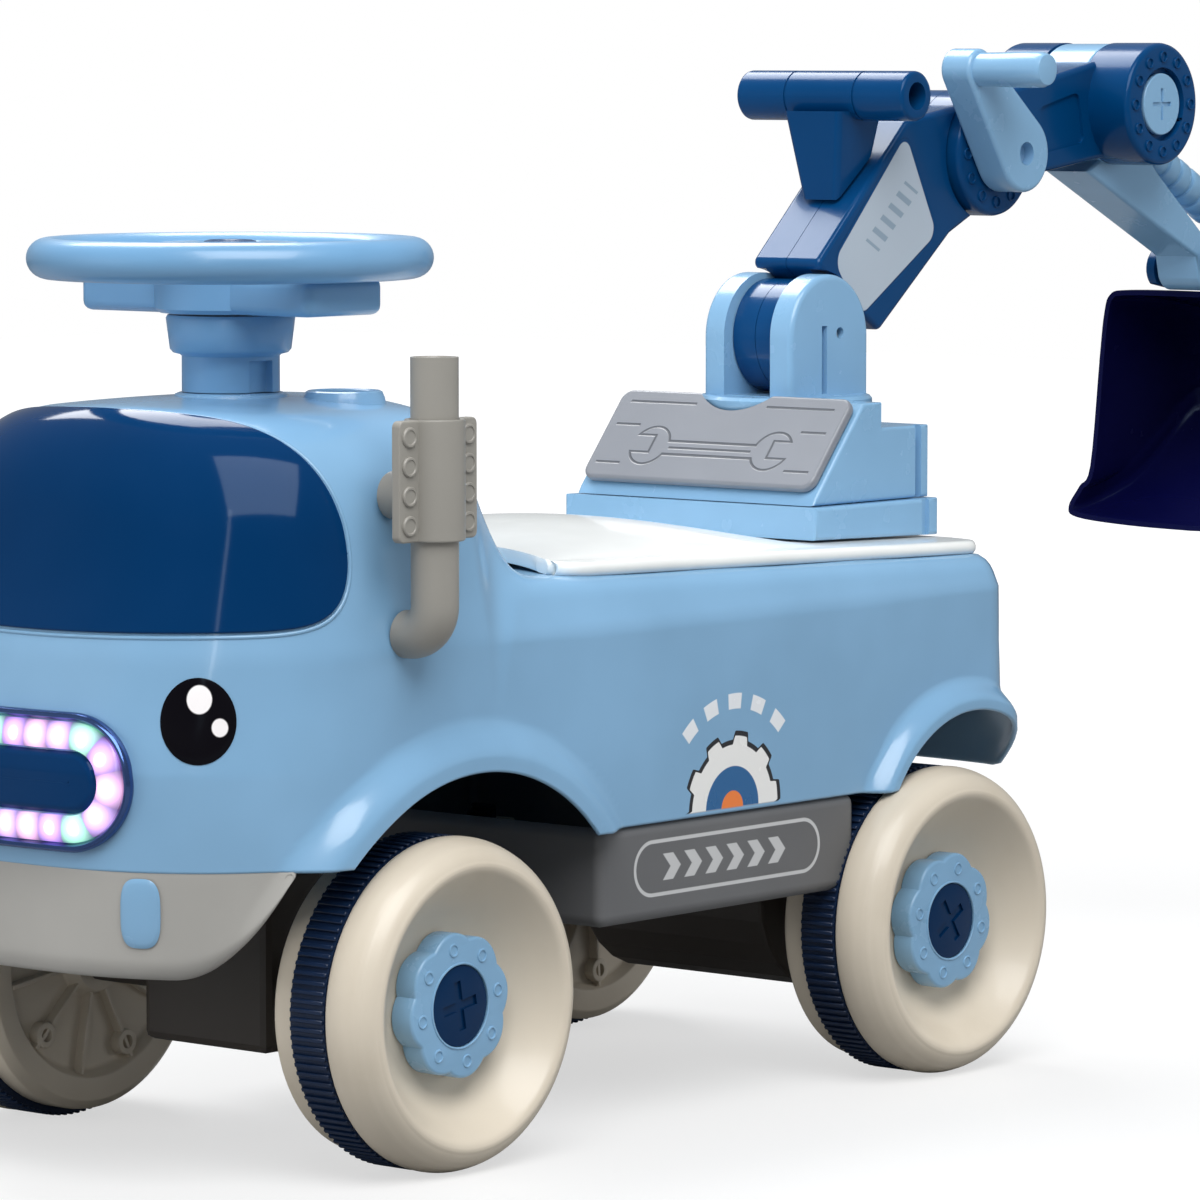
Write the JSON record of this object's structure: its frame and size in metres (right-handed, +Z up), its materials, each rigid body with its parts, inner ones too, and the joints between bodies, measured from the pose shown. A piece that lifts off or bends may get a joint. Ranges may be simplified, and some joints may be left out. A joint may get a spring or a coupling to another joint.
{
  "type": "ride on digger",
  "caption": "Foot-to-floor toy lorry with a steering wheel, a white bench seat and a hand-worked digger arm with a toothed scoop at the rear.",
  "frame": {"origin": "on the floor, under the middle of the whole object's box, in the middle plane", "axes": "+Z up; -Y the way it drives; +Y towards the digger bucket; +X its left side, which carries the exhaust stack"},
  "size_m": [0.315, 1.0275, 0.5176],
  "materials": {
    "sky_blue_plastic": "blow-moulded polyethylene, light blue, soft gloss",
    "deep_blue_plastic": "injection-moulded, deep blue, glossy",
    "navy_plastic": "injection-moulded, very dark navy, glossy",
    "windshield_blue": "thin glossy dark blue film",
    "cream_plastic": "blow-moulded, cream, satin",
    "tread_navy": "ribbed hard plastic band, dark navy",
    "white_plastic": "injection-moulded, white, satin",
    "warm_grey_plastic": "injection-moulded, light warm grey, satin",
    "sill_grey_plastic": "injection-moulded, blue grey, satin",
    "tray_grey_plastic": "injection-moulded, light grey, satin, embossed",
    "underbody_plastic": "dark brown grey, satin",
    "eye_black": "glossy black with off-white highlights",
    "lamp_lens": "translucent lens over small lamps",
    "dark_chrome": "dark vacuum-metallised plastic",
    "steel": "bright zinc-plated steel"
  },
  "bodies": {
    "lorry": {"body_shell": "sky_blue_plastic", "windshield": "windshield_blue", "lamp_bezel": "dark_chrome", "lamp_ring": "lamp_lens", "lamp_panel": "windshield_blue", "eye_left": "eye_black", "eye_right": "eye_black", "front_bumper": "warm_grey_plastic", "bumper_accent_left": "sky_blue_plastic", "bumper_accent_right": "sky_blue_plastic", "sill_pan": "sill_grey_plastic", "battery_case": "underbody_plastic", "battery_door": "sill_grey_plastic", "rear_axle_bracket": "underbody_plastic", "rear_axle_rod": "steel", "exhaust_pipe": "warm_grey_plastic", "exhaust_sleeve": "warm_grey_plastic", "seat_panel": "white_plastic", "plinth_base": "sky_blue_plastic", "plinth_tower": "sky_blue_plastic", "tool_tray": "tray_grey_plastic"},
    "steering": {"steering_wheel": "sky_blue_plastic", "steering_column": "sky_blue_plastic", "steering_shaft": "steel", "front_axle_beam": "underbody_plastic", "front_axle_rod": "steel"},
    "horn": {"horn_button": "deep_blue_plastic"},
    "front_left_wheel": {"front_left_wheel_inner_half": "cream_plastic", "front_left_wheel_tread": "tread_navy", "front_left_wheel_outer_half": "cream_plastic", "front_left_wheel_hub_cap": "sky_blue_plastic"},
    "front_right_wheel": {"front_right_wheel_inner_half": "cream_plastic", "front_right_wheel_tread": "tread_navy", "front_right_wheel_outer_half": "cream_plastic", "front_right_wheel_hub_cap": "sky_blue_plastic"},
    "rear_left_wheel": {"rear_left_wheel_inner_half": "cream_plastic", "rear_left_wheel_tread": "tread_navy", "rear_left_wheel_outer_half": "cream_plastic", "rear_left_wheel_hub_cap": "sky_blue_plastic"},
    "rear_right_wheel": {"rear_right_wheel_inner_half": "cream_plastic", "rear_right_wheel_tread": "tread_navy", "rear_right_wheel_outer_half": "cream_plastic", "rear_right_wheel_hub_cap": "sky_blue_plastic"},
    "turret": {"turret": "sky_blue_plastic", "boom_pin": "steel"},
    "boom": {"boom_shell_left": "deep_blue_plastic", "boom_shell_right": "deep_blue_plastic", "boom_handle": "deep_blue_plastic"},
    "stick": {"stick": "deep_blue_plastic", "elbow_shaft": "steel", "outer_shaft": "steel", "outer_screw_cap": "sky_blue_plastic", "hand_lever": "sky_blue_plastic"},
    "forearm": {"forearm": "sky_blue_plastic", "piston": "sky_blue_plastic"},
    "bucket": {"bucket": "navy_plastic", "bucket_bracket": "deep_blue_plastic", "bucket_pin": "steel"}
  },
  "joints": [
    {"name": "steering_turn", "type": "hinge", "parent": "lorry", "child": "steering", "pos_m": [0, -0.3665, 0.417], "axis": [0, 0, 1], "range_deg": [-10, 10]},
    {"name": "horn_press", "type": "slide", "parent": "steering", "child": "horn", "axis": [0, 0, -1], "range_m": [0, 0.003], "stiffness_N_per_m": 300},
    {"name": "front_left_wheel_spin", "type": "hinge", "parent": "steering", "child": "front_left_wheel", "pos_m": [0.11775, -0.3665, 0.0775], "axis": [1, 0, 0], "continuous": true},
    {"name": "front_right_wheel_spin", "type": "hinge", "parent": "steering", "child": "front_right_wheel", "pos_m": [-0.11775, -0.3665, 0.0775], "axis": [1, 0, 0], "continuous": true},
    {"name": "rear_left_wheel_spin", "type": "hinge", "parent": "lorry", "child": "rear_left_wheel", "pos_m": [0.11775, 0.0065, 0.0775], "axis": [1, 0, 0], "continuous": true},
    {"name": "rear_right_wheel_spin", "type": "hinge", "parent": "lorry", "child": "rear_right_wheel", "pos_m": [-0.11775, 0.0065, 0.0775], "axis": [1, 0, 0], "continuous": true},
    {"name": "turret_swing", "type": "hinge", "parent": "lorry", "child": "turret", "pos_m": [0, 0.0515, 0.322], "axis": [0, 0, 1], "range_deg": [-90, 90]},
    {"name": "boom_lift", "type": "hinge", "parent": "turret", "child": "boom", "pos_m": [0, 0.0557, 0.366], "axis": [1, 0, 0], "range_deg": [-12, 25]},
    {"name": "elbow_bend", "type": "hinge", "parent": "boom", "child": "stick", "pos_m": [0, 0.195, 0.459], "axis": [1, 0, 0], "range_deg": [-25, 25]},
    {"name": "forearm_swing", "type": "hinge", "parent": "stick", "child": "forearm", "pos_m": [0, 0.321, 0.4843], "axis": [1, 0, 0], "range_deg": [-6, 30]},
    {"name": "bucket_curl", "type": "hinge", "parent": "forearm", "child": "bucket", "pos_m": [0, 0.417, 0.391], "axis": [1, 0, 0], "range_deg": [-50, 30]}
  ]
}
